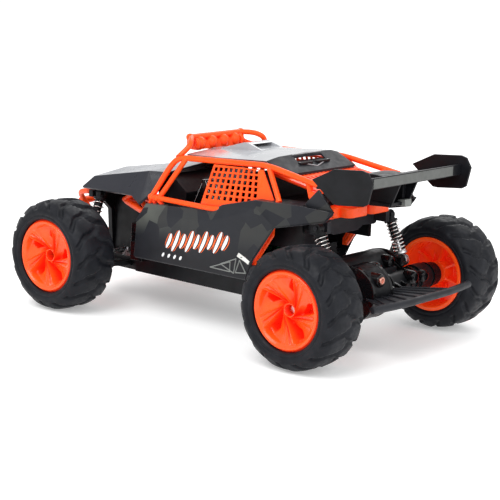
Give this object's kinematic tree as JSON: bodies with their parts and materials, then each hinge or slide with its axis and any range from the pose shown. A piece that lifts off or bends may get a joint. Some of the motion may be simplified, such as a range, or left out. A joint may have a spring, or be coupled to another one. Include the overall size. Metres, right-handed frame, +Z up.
{
  "type": "rc buggy",
  "caption": "Radio controlled off-road buggy with an open tube cage, rear wing, sprung suspension, working steering and geared rear drive",
  "frame": {"origin": "on the ground, midway between the four wheels", "axes": "+X to the car's left, -Y forwards, +Z up"},
  "size_m": [0.2068, 0.3164, 0.135],
  "materials": {
    "black_plastic": "moulded satin black",
    "grey_plastic": "fine textured dark grey",
    "orange_plastic": "moulded orange",
    "painted_shell": "printed polycarbonate shell",
    "roof_gloss": "glossy silver grey print",
    "tyre_rubber": "matte black rubber",
    "rim_orange": "moulded orange",
    "steel": "plated steel",
    "spring_steel": "bright plated wire",
    "brass": "turned brass",
    "white_nylon": "white nylon",
    "lens": "clear moulded lens",
    "cell_wrap": "blue shrink wrap",
    "board": "green solder mask",
    "motor_can": "rolled steel can"
  },
  "bodies": {
    "chassis": {"chassis_tub": "black_plastic", "belly_door": "grey_plastic", "battery_pack": "cell_wrap", "circuit_board": "board", "steering_servo": "grey_plastic", "hinge_pins": "steel", "front_tower": "black_plastic", "front_frame": "orange_plastic", "rear_tower": "grey_plastic", "hood": "painted_shell", "side_panel_left": "painted_shell", "side_panel_right": "painted_shell", "cockpit": "black_plastic", "rear_deck": "black_plastic", "rear_cover": "orange_plastic", "cage_left": "orange_plastic", "cage_right": "orange_plastic", "cage_rear": "orange_plastic", "net_left": "orange_plastic", "net_right": "orange_plastic", "roof_panel": "roof_gloss", "roof_fairing": "painted_shell", "light_bar": "orange_plastic", "lamp_lenses": "lens", "body_screws": "steel", "wing_blade": "painted_shell", "wing_plate_left": "painted_shell", "wing_plate_right": "painted_shell", "wing_pylon": "black_plastic"},
    "power_switch": {"switch_slider": "black_plastic"},
    "horn": {"servo_horn": "orange_plastic"},
    "rack": {"steering_rack": "grey_plastic"},
    "arm_left": {"front_arm_left": "black_plastic"},
    "steer_left": {"knuckle_left": "black_plastic"},
    "link_left": {"tie_rod_left": "black_plastic"},
    "front_wheel_left": {"front_rim_left": "rim_orange", "front_tyre_left": "tyre_rubber"},
    "front_damper_left": {"front_shock_body_left": "black_plastic", "front_spring_left": "spring_steel"},
    "front_damper_rod_left": {"front_shock_rod_left": "steel"},
    "arm_right": {"front_arm_right": "black_plastic"},
    "steer_right": {"knuckle_right": "black_plastic"},
    "link_right": {"tie_rod_right": "black_plastic"},
    "front_wheel_right": {"front_rim_right": "rim_orange", "front_tyre_right": "tyre_rubber"},
    "front_damper_right": {"front_shock_body_right": "black_plastic", "front_spring_right": "spring_steel"},
    "front_damper_rod_right": {"front_shock_rod_right": "steel"},
    "rear_axle": {"axle_housing": "black_plastic", "drive_motor": "motor_can", "rear_bumper": "black_plastic"},
    "rear_wheels": {"axle_shaft": "steel", "spur_gear": "white_nylon", "rear_rims": "rim_orange", "rear_tyre_left": "tyre_rubber", "rear_tyre_right": "tyre_rubber"},
    "pinion": {"motor_pinion": "brass"},
    "rear_dampers": {"rear_shock_bodies": "black_plastic", "rear_springs": "spring_steel"},
    "rear_damper_rods": {"rear_shock_rods": "steel"}
  },
  "joints": [
    {"name": "switch_slide", "type": "slide", "parent": "chassis", "child": "power_switch", "axis": [1, 0, 0], "range_m": [0, 0.0024]},
    {"name": "front_suspension_left", "type": "hinge", "parent": "chassis", "child": "arm_left", "pos_m": [0.022, -0.113, 0.0302], "axis": [0, -1, 0], "range_deg": [-7, 7], "stiffness_Nm_per_rad": 3, "springref_deg": -2.29},
    {"name": "steering", "type": "hinge", "parent": "arm_left", "child": "steer_left", "pos_m": [0.059, -0.113, 0.0412], "axis": [0, 0, 1], "range_deg": [-18, 18]},
    {"name": "tie_rod_slide_left", "type": "slide", "parent": "arm_left", "child": "link_left", "axis": [1, 0, 0], "range_m": [-0.0055, 0.0055]},
    {"name": "front_wheel_spin_left", "type": "hinge", "parent": "steer_left", "child": "front_wheel_left", "pos_m": [0.084, -0.113, 0.0412], "axis": [1, 0, 0], "continuous": true},
    {"name": "front_damper_tilt_left", "type": "hinge", "parent": "chassis", "child": "front_damper_left", "pos_m": [0.035, -0.1225, 0.0802], "axis": [0, -1, 0], "range_deg": [-1, 1]},
    {"name": "front_damper_stroke_left", "type": "slide", "parent": "front_damper_left", "child": "front_damper_rod_left", "axis": [0.3714, 0, -0.9285], "range_m": [-0.0038, 0.0038], "deforming": ["front_spring_left"]},
    {"name": "front_suspension_right", "type": "hinge", "parent": "chassis", "child": "arm_right", "pos_m": [-0.022, -0.113, 0.0302], "axis": [0, 1, 0], "range_deg": [-7, 7], "stiffness_Nm_per_rad": 3, "springref_deg": -2.29},
    {"name": "steering_right", "type": "hinge", "parent": "arm_right", "child": "steer_right", "pos_m": [-0.059, -0.113, 0.0412], "axis": [0, 0, 1], "range_deg": [-18, 18]},
    {"name": "tie_rod_slide_right", "type": "slide", "parent": "arm_right", "child": "link_right", "axis": [1, 0, 0], "range_m": [-0.0055, 0.0055]},
    {"name": "front_wheel_spin_right", "type": "hinge", "parent": "steer_right", "child": "front_wheel_right", "pos_m": [-0.084, -0.113, 0.0412], "axis": [1, 0, 0], "continuous": true},
    {"name": "front_damper_tilt_right", "type": "hinge", "parent": "chassis", "child": "front_damper_right", "pos_m": [-0.035, -0.1225, 0.0802], "axis": [0, 1, 0], "range_deg": [-1, 1]},
    {"name": "front_damper_stroke_right", "type": "slide", "parent": "front_damper_right", "child": "front_damper_rod_right", "axis": [-0.3714, 0, -0.9285], "range_m": [-0.0038, 0.0038], "deforming": ["front_spring_right"]},
    {"name": "rack_slide", "type": "slide", "parent": "chassis", "child": "rack", "axis": [1, 0, 0], "range_m": [-0.0055, 0.0055]},
    {"name": "servo_turn", "type": "hinge", "parent": "chassis", "child": "horn", "pos_m": [0, -0.079, 0.0433], "axis": [0, 0, 1], "range_deg": [-18, 18]},
    {"name": "rear_suspension", "type": "hinge", "parent": "chassis", "child": "rear_axle", "pos_m": [0, 0.058, 0.0372], "axis": [1, 0, 0], "range_deg": [-6, 8], "stiffness_Nm_per_rad": 6, "springref_deg": -2.58},
    {"name": "rear_wheel_spin", "type": "hinge", "parent": "rear_axle", "child": "rear_wheels", "pos_m": [0, 0.113, 0.0412], "axis": [1, 0, 0], "continuous": true},
    {"name": "pinion_spin", "type": "hinge", "parent": "rear_axle", "child": "pinion", "pos_m": [0.018, 0.09551, 0.04936], "axis": [1, 0, 0], "continuous": true},
    {"name": "rear_damper_tilt", "type": "hinge", "parent": "chassis", "child": "rear_dampers", "pos_m": [0, 0.092, 0.0852], "axis": [1, 0, 0], "range_deg": [-1, 1]},
    {"name": "rear_damper_stroke", "type": "slide", "parent": "rear_dampers", "child": "rear_damper_rods", "axis": [0, 0.4116, -0.9114], "range_m": [-0.0072, 0.0054], "deforming": ["rear_springs"]}
  ],
  "couplings": [
    {"joint": "steering_right", "follows": "steering", "ratio": 1},
    {"joint": "rack_slide", "follows": "steering", "m_per_rad": -0.017},
    {"joint": "servo_turn", "follows": "steering", "ratio": -1},
    {"joint": "tie_rod_slide_left", "follows": "steering", "m_per_rad": -0.017},
    {"joint": "front_damper_tilt_left", "follows": "front_suspension_left", "ratio": 0.03441},
    {"joint": "front_damper_stroke_left", "follows": "front_suspension_left", "m_per_rad": -0.030579},
    {"joint": "tie_rod_slide_right", "follows": "steering", "m_per_rad": -0.017},
    {"joint": "front_damper_tilt_right", "follows": "front_suspension_right", "ratio": 0.03441},
    {"joint": "front_damper_stroke_right", "follows": "front_suspension_right", "m_per_rad": -0.030579},
    {"joint": "pinion_spin", "follows": "rear_wheel_spin", "ratio": -3},
    {"joint": "rear_damper_tilt", "follows": "rear_suspension", "ratio": 0.10463},
    {"joint": "rear_damper_stroke", "follows": "rear_suspension", "m_per_rad": -0.050748}
  ]
}
